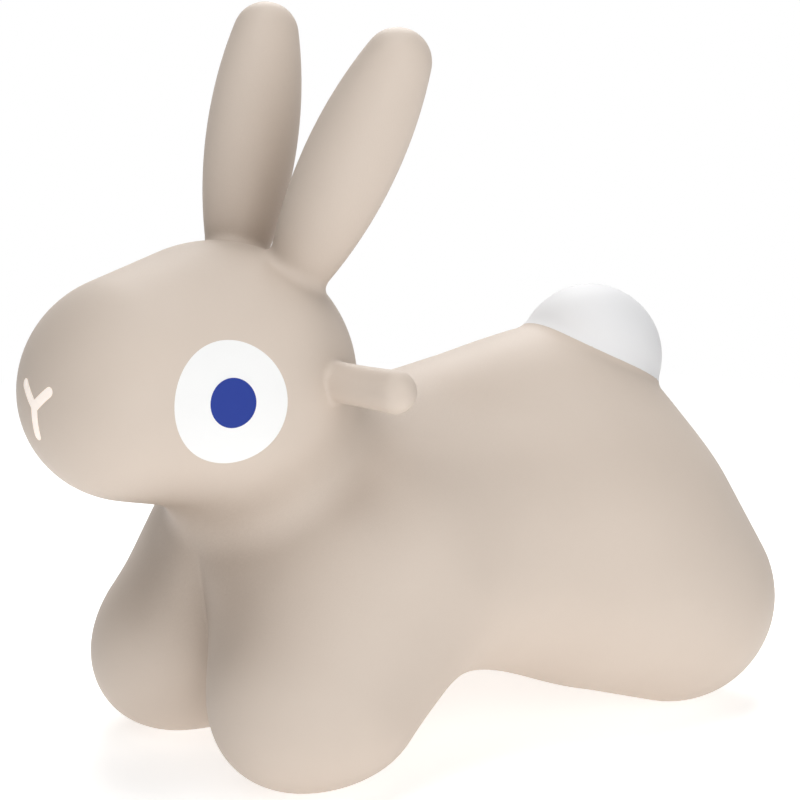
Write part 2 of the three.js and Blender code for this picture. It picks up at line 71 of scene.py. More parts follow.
# Forelegs and hind legs
SHOULDER_AT, SHOULDER_RADIUS = np.array([0.0605, -0.042, 0.136]), 0.0715
HEEL_AT, HEEL_RADIUS = np.array([0.087, -0.101, 0.064]), 0.058
TOE_AT, TOE_RADIUS = np.array([0.0735, -0.1285, 0.0535]), 0.049
HAUNCH_AT, HAUNCH_RADIUS = np.array([0.068, 0.1485, 0.116]), 0.1015
HIND_FOOT_AT, HIND_FOOT_RADIUS = np.array([0.09, 0.1945, 0.076]), 0.076

# Neck and head
NECK_AT, NECK_RADIUS = np.array([0, -0.1, 0.216]), 0.054
NECK_ROOT_RADIUS = 0.9 * CHEST_RADIUS
SKULL_AT, SKULL_RADIUS = np.array([0, -0.1305, 0.2695]), 0.0905
MUZZLE_AT, MUZZLE_RADIUS = np.array([0, -0.1925, 0.2745]), 0.073
CHIN_AT, CHIN_RADIUS = np.array([0, -0.2105, 0.2655]), 0.051
HEAD_WIDTH = 1.07

# Widths of the soft valleys between these forms, and of the tight ones at ears, grips and tail
FORE_BLEND, HIND_BLEND, NECK_BLEND, HEAD_BLEND = 0.072, 0.055, 0.024, 0.032
FLANK_BLEND = 0.03
FORE_PAIR_BLEND, HIND_PAIR_BLEND, TOE_BLEND, CHIN_BLEND = 0.01, 0.024, 0.024, 0.03
EAR_BLEND, GRIP_BLEND, TAIL_BLEND = 0.009, 0.0015, 0.007

# The cleft down the middle of the chest, between the forelegs
CLEFT_DEPTH, CLEFT_WIDTH = 0.007, 0.034
CLEFT_Y, CLEFT_Z = (-0.06, -0.13), (0.18, 0.1)

# Ears, grips and tail
EAR_FOOT, EAR_SPLAY, EAR_LEAN = (0.0354, -0.0888), 15.5, 21.0
EAR_LENGTH, EAR_RADII = 0.174, (0.0198, 0.031, 0.0224)
GRIP_FOOT, GRIP_SWEEP = (-0.097, 0.2795), 18.0
GRIP_LENGTH, GRIP_RADII = 0.059, (0.0134, 0.0133, 0.0143)
TAIL_ANGLE, TAIL_RADIUS, TAIL_SINK = 57.0, 0.0517, 0.015

# Air valve under the belly
VALVE_Y = 0.045
VALVE_RIM, VALVE_LIP = 0.0155, 0.0008
PLUG_HEAD, PLUG_HEAD_HEIGHT = 0.0105, 0.0026
PLUG_STEM, PLUG_RIDGE, PLUG_TIP, PLUG_LENGTH = 0.0046, 0.0052, 0.0034, 0.017
PLUG_CLEARANCE = 0.0003

# Prints
PRINT_LIFT, PRINT_ROOT, PRINT_START = 0.00015, 0.0004, 0.03
EYE_YZ, EYE_SIZE = (-0.178, 0.277), (0.0755, 0.0795)
PUPIL_YZ, PUPIL_SIZE = (-0.1767, 0.2777), (0.0304, 0.0322)
NOSE_Z, NOSE_STROKE, NOSE_STEM, NOSE_ARM, NOSE_SPREAD = 0.2725, 0.0068, 0.019, 0.0182, 49.0
COAT_EDGE, COAT_CAP_ANGLE = 0.0002, 0.2

# Starts of the straight lines that find points of the surface, all clear of the toy
START_ABOVE, START_BELOW = 0.6, 0.1
START_ASIDE, START_AHEAD, START_BEHIND = 0.4, 0.4, 0.3

# Share of the distance left that each step along these lines takes
MEET_SHARE = 0.85

# Fineness of the skin; its grid starts so far under the floor that no layer lies in the flat of the feet
SKIN_CELL = 0.003
CELLS_BELOW = 2.37
RELAX_ROUNDS, RELAX_SHARE = 4, 0.6

# Vinyl: depth of the grain, spread of the gloss and the part of a noise that is used
GRAIN_DEPTH = 0.0002
GLOSS_SPREAD = 0.03
NOISE_SPAN = (0.3, 0.7)

# Painted shade in the skin's colour, darker where the skin hides itself: strongest in the middle of the
# chest, weak at the feet and on the head
PAINTED_SHADE_COLOUR, PAINTED_SHADE_REACH, PAINTED_SHADE_SAMPLES = (124, 104, 86), 0.15, 8
PAINTED_SHADE_FEET, PAINTED_SHADE_NECK, PAINTED_SHADE_MIDDLE = (0.05, 0.14), (0.19, 0.25), (0.03, 0.09)
FEET_SHADE_SHARE, HEAD_SHADE_SHARE, MIDDLE_SHADE_SHARE = 0.1, 0.3, 2.6

# Painted light on the nose mark: a weak glow that brightens the print on the shaded muzzle, though the ink is
# no lamp
NOSE_PAINTED_GLOW_COLOUR, NOSE_PAINTED_GLOW = (252, 241, 232), 0.25

# Camera: the photograph's view
CAMERA_AZIMUTH, CAMERA_ELEVATION, CAMERA_DISTANCE = 52.42, 15.05, 2.239
CAMERA_AIM = Vector((0.0088, 0.0158, 0.2299))
CAMERA_ANGLE, CAMERA_FAR = 14.024, 50

# Studio: a dim room, a glowing floor and five wide lamps turned to the toy
WORLD_FILL = 0.03
FLOOR_SIZE, FLOOR_GLOW, FLOOR_WHITE, FLOOR_SHADE = 6.0, 0.37, 0.56, (0.45, 1.0)
FLOOR_COLOUR, FLOOR_ROUGHNESS = (0.9, 0.9, 0.9, 1), 0.9
LAMP_AIM = Vector((0, 0, 0.25))
WHITE = (1, 1, 1, 1)

UP = np.array([0.0, 0.0, 1.0])


# The form

def taper(p, a, b, ra, rb):
    """Distance to a ball that swells or shrinks along the line from a to b."""
    axis = b - a
    length = np.linalg.norm(axis)
    rel = p - a
    along = rel @ (axis / length)
    off = np.sqrt(np.maximum((rel * rel).sum(1) - along * along, 0))
    sine = np.clip((ra - rb) / length, -0.999, 0.999)
    t = np.clip((along - off * sine / math.sqrt(1 - sine * sine)) / length, 0, 1)
    return np.hypot(off, along - t * length) - (ra + (rb - ra) * t)


def ball(p, at, radius):
    return np.linalg.norm(p - at, axis=1) - radius


def blend(a, b, width):
    """Joins two distances with a soft valley of the given width."""
    h = np.maximum(width - np.abs(a - b), 0) / width
    return np.minimum(a, b) - h * h * width / 4


def squeezed(p, width):
    return p / np.array([width, 1, 1])


def mirrored(p):
    return p * np.array([-1, 1, 1])


def foreleg(p):
    leg = taper(p, SHOULDER_AT, HEEL_AT, SHOULDER_RADIUS, HEEL_RADIUS)
    return blend(leg, ball(p, TOE_AT, TOE_RADIUS), TOE_BLEND)


def hind_leg(p):
    return taper(p, HAUNCH_AT, HIND_FOOT_AT, HAUNCH_RADIUS, HIND_FOOT_RADIUS)


def flank(p):
    return taper(p, FLANK_FRONT_AT, FLANK_BACK_AT, FLANK_FRONT_RADIUS, FLANK_BACK_RADIUS)


def cleft(p):
    """Depth of the cleft at points: full low in front, running out upwards, backwards and sideways."""
    depth = CLEFT_DEPTH * np.maximum(1 - np.abs(p[:, 0]) / CLEFT_WIDTH, 0) ** 2
    for k, (start, full) in ((1, CLEFT_Y), (2, CLEFT_Z)):
        t = np.clip((p[:, k] - start) / (full - start), 0, 1)
        depth = depth * t * t * (3 - 2 * t)
    return depth


def body_form(p):
    q = mirrored(p)
    torso = taper(squeezed(p, TORSO_WIDTH), CHEST_AT, RUMP_AT, CHEST_RADIUS, RUMP_RADIUS)
    torso *= min(TORSO_WIDTH, 1)
    neck = taper(p, CHEST_AT, NECK_AT, NECK_ROOT_RADIUS, NECK_RADIUS)
    fore = blend(foreleg(p), foreleg(q), FORE_PAIR_BLEND)
    hind = blend(hind_leg(p), hind_leg(q), HIND_PAIR_BLEND)
    trunk = blend(blend(torso, fore, FORE_BLEND), hind, HIND_BLEND)
    trunk = blend(trunk, np.minimum(flank(p), flank(q)), FLANK_BLEND)
    return blend(trunk, neck, NECK_BLEND) + cleft(p)


def head_form(p):
    q = squeezed(p, HEAD_WIDTH)
    egg = taper(q, SKULL_AT, MUZZLE_AT, SKULL_RADIUS, MUZZLE_RADIUS)
    return blend(egg, ball(q, CHIN_AT, CHIN_RADIUS), CHIN_BLEND) * min(HEAD_WIDTH, 1)


def hull_form(p):
    p = p - FORM_SHIFT
    return blend(body_form(p), head_form(p), HEAD_BLEND)


def limb(p, root, direction, length, radii, rounds=6):
    """Distance to a ball that moves along a straight axis while its radius follows a parabola."""
    first, middle, last = radii
    reach = length - last
    bend = (first + last) / 2 - middle
    tilt = (last - first) / 2
    rel = p - root
    along = rel @ direction
    off = np.sqrt(np.maximum((rel * rel).sum(1) - along * along, 0))
    s = np.clip(along, -first, reach)
    for _ in range(rounds):
        u = 2 * s / reach - 1
        gap = np.minimum(np.hypot(off, along - s), 2 * middle)
        s = np.clip(along + gap * (2 / reach) * (tilt + 2 * bend * u), -first, reach)
    u = 2 * s / reach - 1
    return np.hypot(off, along - s) - (middle + tilt * u + bend * u * u)


def slope(field, p, step=5e-5):
    """Outward unit normals of a field at points."""
    g = np.empty_like(p)
    for k in range(3):
        e = np.zeros(3)
        e[k] = step
        g[:, k] = field(p + e) - field(p - e)
    return g / np.maximum(np.linalg.norm(g, axis=1, keepdims=True), 1e-12)


def pull_on(field, p, rounds=2):
    """Moves points onto the surface of a field."""
    for _ in range(rounds):
        p = p - slope(field, p) * field(p)[:, None]
    return p


def meet(field, start, direction, rounds=120):
    """The first points of a surface on straight lines from outside."""
    p = np.array(start, float).reshape(-1, 3)
    direction = np.asarray(direction, float)
    for _ in range(rounds):
        p = p + direction * field(p)[:, None] * MEET_SHARE
    return p


def leaning(splay, lean):
    v = np.array([math.tan(math.radians(splay)), math.tan(math.radians(lean)), 1.0])
    return v / np.linalg.norm(v)


def turned(angle):
    return math.cos(math.radians(angle)), math.sin(math.radians(angle))


def side_point(yz):
    """The point on the toy's left side that lies at a place in the side view."""
    return meet(hull_form, np.array([START_ASIDE, *yz]) + FORM_SHIFT, [-1, 0, 0])[0]


ear_axis = leaning(EAR_SPLAY, EAR_LEAN)
ear_root = meet(hull_form, np.array([*EAR_FOOT, START_ABOVE]) + FORM_SHIFT, -UP)[0]
grip_axis = np.array([*turned(GRIP_SWEEP), 0.0])
grip_root = side_point(GRIP_FOOT)
tail_axis = np.array([0.0, *turned(TAIL_ANGLE)])
tail_foot = meet(hull_form, RUMP_AT + FORM_SHIFT + START_BEHIND * tail_axis, -tail_axis)[0]
tail_at = tail_foot - TAIL_SINK * tail_axis
valve_at = np.array([0, VALVE_Y + FORM_SHIFT[1], 0])
belly_z = meet(hull_form, valve_at - START_BELOW * UP, UP)[0][2]


def tail_form(p):
    return ball(p, tail_at, TAIL_RADIUS)


def skin_form(p):
    """The whole outside of the moulding."""
    q = np.abs(p) * np.array([1, 0, 0]) + p * np.array([0, 1, 1])
    ear = limb(q, ear_root, ear_axis, EAR_LENGTH, EAR_RADII)
    grip = limb(q, grip_root, grip_axis, GRIP_LENGTH, GRIP_RADII)
    whole = blend(hull_form(p), ear, EAR_BLEND)
    whole = blend(whole, grip, GRIP_BLEND)
    whole = blend(whole, tail_form(p), TAIL_BLEND)
    return np.maximum(whole, -p[:, 2])


# Meshes

def skinned(field, low, high, cell):
    """Vertices and quads of a field's surface.

    There is one vertex in each cell that the surface crosses, and one quad for each edge that it crosses.
    """
    counts = [int(math.ceil((high[k] - low[k]) / cell)) + 1 for k in range(3)]
    axes = [low[k] + cell * np.arange(counts[k]) for k in range(3)]
    value = np.empty(counts)
    yz = np.stack(np.meshgrid(axes[1], axes[2], indexing="ij"), -1).reshape(-1, 2)
    for i, x in enumerate(axes[0]):
        value[i] = field(np.column_stack([np.full(len(yz), x), yz])).reshape(counts[1:])
    inside = value < 0
    corner = np.array([[i, j, k] for i in (0, 1) for j in (0, 1) for k in (0, 1)])
    size = [n - 1 for n in counts]
    window = [tuple(slice(c[k], c[k] + size[k]) for k in range(3)) for c in corner]
    full = sum(inside[w].astype(np.int8) for w in window)
    cells = np.argwhere((full > 0) & (full < 8))
    values = np.stack([value[tuple((cells + c).T)] for c in corner], 1)
    total = np.zeros((len(cells), 3))
    hits = np.zeros(len(cells))
    for a in range(8):
        for b in range(a + 1, 8):
            if np.abs(corner[a] - corner[b]).sum() != 1:
                continue
            cut = (values[:, a] < 0) != (values[:, b] < 0)
            span = np.where(cut, values[:, a] - values[:, b], 1.0)
            t = np.where(cut, values[:, a] / span, 0.0)
            point = corner[a] + t[:, None] * (corner[b] - corner[a])
            total += cut[:, None] * point
            hits += cut
    vertices = np.asarray(low) + cell * (cells + total / hits[:, None])
    index = np.full(size, -1, np.int64)
    index[tuple(cells.T)] = np.arange(len(cells))
    quads = []
    for k in range(3):
        step = np.eye(3, dtype=int)
        lower = tuple(slice(0, counts[m] - (m == k)) for m in range(3))
        upper = tuple(slice(int(m == k), counts[m]) for m in range(3))
        edges = np.argwhere(inside[lower] != inside[upper])
        a, b = step[(k + 1) % 3], step[(k + 2) % 3]
        ring = np.stack([index[tuple((edges - d).T)] for d in (a + b, b, 0 * a, a)], 1)
        flip = ~inside[tuple(edges.T)]
        ring[flip] = ring[flip][:, ::-1]
        quads.append(ring)
    return vertices, np.concatenate(quads)


def relaxed(field, vertices, quads, rounds):
    """Evens the vertices out along the surface."""
    near = np.concatenate([quads[:, [m, (m + 1) % 4]] for m in range(4)])
    near = np.concatenate([near, near[:, ::-1]])
    degree = np.bincount(near[:, 0], minlength=len(vertices))[:, None]
    for _ in range(rounds):
        mean = np.zeros_like(vertices)
        for k in range(3):
            mean[:, k] = np.bincount(near[:, 0], vertices[near[:, 1], k], len(vertices))
        move = (mean / degree - vertices) * RELAX_SHARE
        normal = slope(field, vertices)
        move -= normal * (move * normal).sum(1)[:, None]
        vertices = pull_on(field, vertices + move, 1)
    return vertices


def mesh_object(name, vertices, faces, material):
    mesh = bpy.data.meshes.new(name)
    mesh.from_pydata([tuple(v) for v in vertices], [], [tuple(int(i) for i in f) for f in faces])
    mesh.update()
    mesh.shade_smooth()
    mesh.materials.append(material)
    piece = bpy.data.objects.new(name, mesh)
    bpy.context.scene.collection.objects.link(piece)
    return piece


def valve_opening(piece):
    """Opens the belly round the valve's axis and turns the rim in: lip, pocket for the plug and bore."""
    bm = bmesh.new()
    bm.from_mesh(piece.data)
    axis = Vector(valve_at)

    def off_axis(v):
        return (Vector((v.co.x, v.co.y, 0)) - axis).length

    under = [f for f in bm.faces if f.calc_center_median().z < belly_z + PLUG_LENGTH]
    gone = [f for f in under if any(off_axis(v) < VALVE_RIM - SKIN_CELL / 2 for v in f.verts)]
    bmesh.ops.delete(bm, geom=gone, context="FACES")
    loop = [v for v in bm.verts if v.is_boundary]
    angle = {v: math.atan2(v.co.y - axis.y, v.co.x) for v in loop}
    loop.sort(key=angle.get)
    pocket = PLUG_HEAD + PLUG_CLEARANCE
    bore = PLUG_RIDGE + PLUG_CLEARANCE
    seat = belly_z + PLUG_HEAD_HEIGHT
    lip = VALVE_LIP
    # Radius and height from the mouth to the end of the bore; the first ring lies on the skin
    profile = [
        (pocket + 2.4 * lip, None),
        (pocket + lip, belly_z + 0.02 * lip),
        (pocket + 0.3 * lip, belly_z + 0.35 * lip),
        (pocket, belly_z + lip),
        (pocket, seat - 0.3 * lip),
        (pocket - 0.3 * lip, seat),
        (bore + 0.4 * lip, seat),
        (bore, seat + 0.4 * lip),
        (bore, seat + PLUG_LENGTH),
        (0.6 * bore, seat + 1.05 * PLUG_LENGTH),
    ]
    last = loop
    for radius, height in profile:
        points = [(radius * math.cos(angle[v]), axis.y + radius * math.sin(angle[v]), height) for v in loop]
        if height is None:
            points = meet(hull_form, [(x, y, -START_BELOW) for x, y, _ in points], UP)
        ring = [bm.verts.new(point) for point in points]
        for k in range(len(loop)):
            j = (k + 1) % len(loop)
            bm.faces.new((last[k], last[j], ring[j], ring[k]))
        last = ring
    bm.faces.new(last)
    bmesh.ops.recalc_face_normals(bm, faces=bm.faces)
    bm.to_mesh(piece.data)
    bm.free()
    piece.data.shade_smooth()


def disc_faces(sectors, rings):
    """Faces of a round sheet: a fan about its first point, then rings of quads."""
    faces = [(0, 1 + k, 1 + (k + 1) % sectors) for k in range(sectors)]
    for r in range(rings - 1):
        a, b = 1 + r * sectors, 1 + (r + 1) * sectors
        faces += [(a + k, b + k, b + (k + 1) % sectors, a + (k + 1) % sectors) for k in range(sectors)]
    return faces


def film(name, sheet, faces, material):
    """A printed film: a sheet of points on the skin, with its rim turned down into it."""
    normal = slope(skin_form, sheet)
    edges = {}
    for f in faces:
        for a, b in zip(f, [*f[1:], f[0]]):
            edges[(a, b)] = True
    rim = [(a, b) for a, b in edges if (b, a) not in edges]
    n = len(sheet)
    points = np.concatenate([sheet + PRINT_LIFT * normal, sheet - PRINT_ROOT * normal])
    sides = [(b, a, a + n, b + n) for a, b in rim]
    backs = [tuple(i + n for i in reversed(f)) for f in faces]
    piece = mesh_object(name, points, [*faces, *backs, *sides], material)
    brim = {frozenset(edge) for edge in rim}
    for edge in piece.data.edges:
        edge.use_edge_sharp = frozenset(edge.vertices) in brim
    return piece


def oval_film(name, at, size, side, material, lift=0.0, sectors=96, rings=14):
    """An oval in the plane that touches the head at a point, laid down square to that plane."""
    out = slope(hull_form, at[None])[0]
    across = np.cross(UP, out)
    across /= np.linalg.norm(across)
    rise = np.cross(out, across)
    angle = 2 * math.pi * np.arange(sectors) / sectors
    share = np.sin(0.5 * math.pi * np.arange(1, rings + 1) / rings)
    grid = [(0.0, 0.0)]
    grid += [(s * size[0] / 2 * math.cos(a), s * size[1] / 2 * math.sin(a)) for s in share for a in angle]
    grid = np.array(grid)
    start = at + PRINT_START * out + grid[:, :1] * across + grid[:, 1:] * rise
    sheet = meet(hull_form, start, -out)
    sheet = sheet + lift * slope(hull_form, sheet)
    faces = disc_faces(sectors, rings)
    if side < 0:
        sheet = mirrored(sheet)
        faces = [tuple(reversed(f)) for f in faces]
    return film(name, sheet, faces, material)


def nose_film(name, material, columns=12, rows=12):
    """The nose mark, three strokes with round ends that meet in a Y, laid on the muzzle from the front."""
    half = NOSE_STROKE / 2
    spread = math.radians(NOSE_SPREAD)
    turns = [-math.pi / 2, math.pi / 2 - spread, math.pi / 2 + spread]
    lengths = [NOSE_STEM, NOSE_ARM, NOSE_ARM]
    index, faces = {}, []
    for k, (turn, length) in enumerate(zip(turns, lengths)):
        apart = [(turn - turns[k - 1]) % (2 * math.pi), (turns[(k + 1) % 3] - turn) % (2 * math.pi)]
        inner = [half / math.tan(angle / 2) for angle in apart]
        grid = []
        for r in range(rows + 1):
            share = r / rows
            for c in range(columns + 1):
                side = 2 * c / columns - 1
                start = abs(side) * inner[int(side > 0)]
                end = length + half * math.cos(side * math.pi / 2)
                along = start + (end - start) * share
                off = half * (side + (math.sin(side * math.pi / 2) - side) * share)
                x = along * math.cos(turn) - off * math.sin(turn)
                z = along * math.sin(turn) + off * math.cos(turn)
                grid.append(index.setdefault((round(x, 7), round(z, 7)), len(index)))
        for r in range(rows):
            for c in range(columns):
                m = r * (columns + 1) + c
                faces.append((grid[m], grid[m + columns + 1], grid[m + columns + 2], grid[m + 1]))
    flat = np.array([(x, 0, z) for x, z in index])
    start = flat + np.array([0, -START_AHEAD, NOSE_Z]) + FORM_SHIFT
    return film(name, meet(hull_form, start, [0, 1, 0]), faces, material)


def tail_coat(name, material, sectors=128, rings=40, halvings=40):
    """The sprayed part of the tail: its dome, down to a line just above the crease with the rump."""
    across = np.array([1.0, 0, 0])
    rise = np.cross(tail_axis, across)
    turn = 2 * math.pi * np.arange(sectors) / sectors
    around = np.cos(turn)[:, None] * across + np.sin(turn)[:, None] * rise

    def dome(polar):
        return tail_at + TAIL_RADIUS * (np.cos(polar)[:, None] * tail_axis + np.sin(polar)[:, None] * around)

    low, high = np.full(sectors, COAT_CAP_ANGLE), np.full(sectors, math.pi)
    for _ in range(halvings):
        middle = (low + high) / 2
        clear = hull_form(dome(middle)) > COAT_EDGE
        low, high = np.where(clear, middle, low), np.where(clear, high, middle)
    sheet = [tail_at + TAIL_RADIUS * tail_axis]
    for r in range(1, rings + 1):
        sheet.extend(dome(low * r / rings))
    sheet = pull_on(skin_form, np.array(sheet))
    return film(name, sheet, disc_faces(sectors, rings), material)


def turned_piece(name, profile, centre, material, sides=72):
    """A piece turned about an upright axis, from its lowest point on the axis to its highest."""
    points = [(0.0, 0.0, profile[0][1])]
    for radius, height in profile[1:-1]:
        for k in range(sides):
            a = 2 * math.pi * k / sides
            points.append((radius * math.cos(a), radius * math.sin(a), height))
    points.append((0.0, 0.0, profile[-1][1]))
    rings = len(profile) - 2
    top = len(points) - 1
    faces = [(0, 1 + (k + 1) % sides, 1 + k) for k in range(sides)]
    for r in range(rings - 1):
        a, b = 1 + r * sides, 1 + (r + 1) * sides
        faces += [(a + k, a + (k + 1) % sides, b + (k + 1) % sides, b + k) for k in range(sides)]
    a = 1 + (rings - 1) * sides
    faces += [(a + k, a + (k + 1) % sides, top) for k in range(sides)]
    return mesh_object(name, np.array(points) + np.asarray(centre), faces, material)


def air_plug(name, material):
    """The plug: a domed head with a round edge, a stem with two holding ridges and a tapered tip."""
    seat = belly_z + PLUG_HEAD_HEIGHT - PLUG_CLEARANCE
    ridge = PLUG_LENGTH / 5
    lip = PLUG_HEAD_HEIGHT / 4
    head = PLUG_HEAD
    profile = [(0, -PLUG_HEAD_HEIGHT)]
    profile += [(head * s, -PLUG_HEAD_HEIGHT + 0.33 * lip * s * s) for s in (0.2, 0.4, 0.6, 0.78)]
    for a in np.linspace(0.15, 0.5, 6):
        turn = math.pi * a
        profile.append((head - 2 * lip + 2 * lip * math.sin(turn), -2 * lip * (math.cos(turn) + 1)))
    profile += [(head, -0.5 * lip), (head - 0.3 * lip, 0), (PLUG_STEM + 0.3 * lip, 0), (PLUG_STEM, 0.3 * lip)]
    for start in (ridge, 2.4 * ridge):
        profile += [(PLUG_STEM, start), (PLUG_RIDGE, start + 0.3 * ridge), (PLUG_STEM, start + 0.9 * ridge)]
    profile += [(PLUG_TIP, PLUG_LENGTH - 0.4 * lip), (PLUG_TIP - 0.5 * lip, PLUG_LENGTH), (0, PLUG_LENGTH)]
    return turned_piece(name, profile, valve_at + seat * UP, material)


# Materials

def linear(red, green, blue):
    """A screen colour from 0 to 255 as the shader's linear colour."""
    def one(v):
        v /= 255
        return v / 12.92 if v <= 0.04045 else ((v + 0.055) / 1.055) ** 2.4
    return (one(red), one(green), one(blue), 1.0)


def maths(tree, operation, *values):
    """The result of a maths node on other nodes' outputs and plain numbers."""
    node = tree.nodes.new("ShaderNodeMath")
    node.operation = operation
    for socket, value in zip(node.inputs, values):
        if isinstance(value, float):
            socket.default_value = value
        else:
            tree.links.new(value, socket)
    return node.outputs["Value"]


def ranged(tree, value, span, outcome, way="LINEAR"):
    """A value's span laid onto an outcome, straight or with soft ends."""
    node = tree.nodes.new("ShaderNodeMapRange")
    node.interpolation_type = way
    node.inputs["From Min"].default_value, node.inputs["From Max"].default_value = span
    node.inputs["To Min"].default_value, node.inputs["To Max"].default_value = outcome
    tree.links.new(value, node.inputs["Value"])
    return node.outputs["Result"]


def colour_mix(tree, share):
    """A colour mix of A and B, by a share of B."""
    node = tree.nodes.new("ShaderNodeMix")
    node.data_type = "RGBA"
    tree.links.new(share, node.inputs["Factor"])
    return node


def soft_vinyl_group():
    """Shared look of soft moulded vinyl: a cloudy tone and a fine satin grain."""
    group = bpy.data.node_groups.new("soft_vinyl_surface", "ShaderNodeTree")
    face = group.interface
    face.new_socket("Colour", in_out="INPUT", socket_type="NodeSocketColor")
    face.new_socket("Tone", in_out="INPUT", socket_type="NodeSocketColor")
    for name, value in (("Roughness", 0.55), ("Grain size", 900.0), ("Cloud size", 9.0)):
        face.new_socket(name, in_out="INPUT", socket_type="NodeSocketFloat").default_value = value
    face.new_socket("Colour", in_out="OUTPUT", socket_type="NodeSocketColor")
    face.new_socket("Roughness", in_out="OUTPUT", socket_type="NodeSocketFloat")
    face.new_socket("Height", in_out="OUTPUT", socket_type="NodeSocketFloat")
    nodes, links = group.nodes, group.links
    take, give = nodes.new("NodeGroupInput"), nodes.new("NodeGroupOutput")
    place = nodes.new("ShaderNodeTexCoord")

    def noise(scale, detail):
        node = nodes.new("ShaderNodeTexNoise")
        node.inputs["Detail"].default_value = detail
        links.new(place.outputs["Object"], node.inputs["Vector"])
        links.new(take.outputs[scale], node.inputs["Scale"])
        return node.outputs["Fac"]

    cloud, grain = noise("Cloud size", 3.0), noise("Grain size", 2.0)
    tinted = colour_mix(group, ranged(group, cloud, NOISE_SPAN, (0.0, 1.0)))
    links.new(take.outputs["Colour"], tinted.inputs["A"])
    links.new(take.outputs["Tone"], tinted.inputs["B"])
    links.new(tinted.outputs["Result"], give.inputs["Colour"])
    gloss = take.outputs["Roughness"]
    for pattern in (cloud, grain):
        gloss = maths(group, "ADD", gloss, ranged(group, pattern, NOISE_SPAN, (-GLOSS_SPREAD, GLOSS_SPREAD)))
    links.new(gloss, give.inputs["Roughness"])
    links.new(grain, give.inputs["Height"])
    return group


soft_vinyl = soft_vinyl_group()


def vinyl(name, colour, tone, roughness, specular, grain, bump):
    """A material of soft vinyl or of ink on it."""
    material = bpy.data.materials.new(name)
    material.use_nodes = True
    nodes, links = material.node_tree.nodes, material.node_tree.links
    shader = nodes["Principled BSDF"]
    surface = nodes.new("ShaderNodeGroup")
    surface.node_tree = soft_vinyl
    surface.inputs["Colour"].default_value = linear(*colour)
    surface.inputs["Tone"].default_value = linear(*tone)
    surface.inputs["Roughness"].default_value = roughness
    surface.inputs["Grain size"].default_value = grain
    relief = nodes.new("ShaderNodeBump")
    relief.inputs["Strength"].default_value = bump
    relief.inputs["Distance"].default_value = GRAIN_DEPTH
    links.new(surface.outputs["Height"], relief.inputs["Height"])
    links.new(surface.outputs["Colour"], shader.inputs["Base Color"])
    links.new(surface.outputs["Roughness"], shader.inputs["Roughness"])
    links.new(relief.outputs["Normal"], shader.inputs["Normal"])
    shader.inputs["Specular IOR Level"].default_value = specular
    return material


def painted_fold_shade(material):
    """Painted shade: darkens the skin's colour where the skin hides itself, between feet and neck and most of
    all in the cleft.
    """
    tree = material.node_tree
    base = tree.nodes["Principled BSDF"].inputs["Base Color"]
    plain = base.links[0].from_socket
    fold = tree.nodes.new("ShaderNodeAmbientOcclusion")
    fold.only_local = True
    fold.samples = PAINTED_SHADE_SAMPLES
    fold.inputs["Distance"].default_value = PAINTED_SHADE_REACH
    place = tree.nodes.new("ShaderNodeTexCoord")
    spot = tree.nodes.new("ShaderNodeSeparateXYZ")
    tree.links.new(place.outputs["Object"], spot.inputs["Vector"])
    height = spot.outputs["Z"]
    aside = maths(tree, "ABSOLUTE", spot.outputs["X"])
    shade = maths(tree, "SUBTRACT", 1.0, fold.outputs["AO"])
    for value, span, outcome in (
        (height, PAINTED_SHADE_FEET, (FEET_SHADE_SHARE, 1.0)),
        (height, PAINTED_SHADE_NECK, (1.0, HEAD_SHADE_SHARE)),
        (aside, PAINTED_SHADE_MIDDLE, (MIDDLE_SHADE_SHARE, 1.0)),
    ):
        shade = maths(tree, "MULTIPLY", shade, ranged(tree, value, span, outcome, "SMOOTHSTEP"))
    shaded_colour = colour_mix(tree, shade)
    tree.links.new(plain, shaded_colour.inputs["A"])
    shaded_colour.inputs["B"].default_value = linear(*PAINTED_SHADE_COLOUR)
    tree.links.new(shaded_colour.outputs["Result"], base)


# Painted light: a weak glow on a print that is no lamp
def painted_glow(material, colour, strength):
    shader = material.node_tree.nodes["Principled BSDF"]
    shader.inputs["Emission Color"].default_value = linear(*colour)
    shader.inputs["Emission Strength"].default_value = strength


skin_vinyl = vinyl("beige_moulded_vinyl", (215, 201, 188), (212, 198, 185),
                   roughness=0.56, specular=0.28, grain=900.0, bump=0.25)
# Painted shade: the skin's colour is darkened in its folds, most of all in the chest's cleft
painted_fold_shade(skin_vinyl)
tail_paint = vinyl("white_tail_paint", (240, 240, 241), (237, 237, 238),
                   roughness=0.6, specular=0.3, grain=1100.0, bump=0.3)
eye_ink = vinyl("white_eye_ink", (247, 247, 246), (245, 245, 244),
                roughness=0.5, specular=0.3, grain=1300.0, bump=0.1)
pupil_ink = vinyl("blue_pupil_ink", (40, 62, 149), (37, 59, 145),
                  roughness=0.55, specular=0.2, grain=1300.0, bump=0.1)
nose_ink = vinyl("cream_nose_ink", (252, 241, 232), (250, 238, 228),
                 roughness=0.5, specular=0.3, grain=1300.0, bump=0.1)
# Painted light: the nose mark glows weakly, so it looks brighter on the shaded muzzle than the lamps make it
painted_glow(nose_ink, NOSE_PAINTED_GLOW_COLOUR, NOSE_PAINTED_GLOW)
plug_vinyl = vinyl("off_white_plug_vinyl", (226, 222, 214), (222, 218, 209),
                   roughness=0.45, specular=0.4, grain=1200.0, bump=0.2)


# Pieces

PAIRED_LOBES = ("foreleg", "hind_leg", "ear", "grip")
SKIN_NODES = ["body", "head", "tail"]
SKIN_NODES += [f"{lobe}_{side}" for lobe in PAIRED_LOBES for side in ("left", "right")]


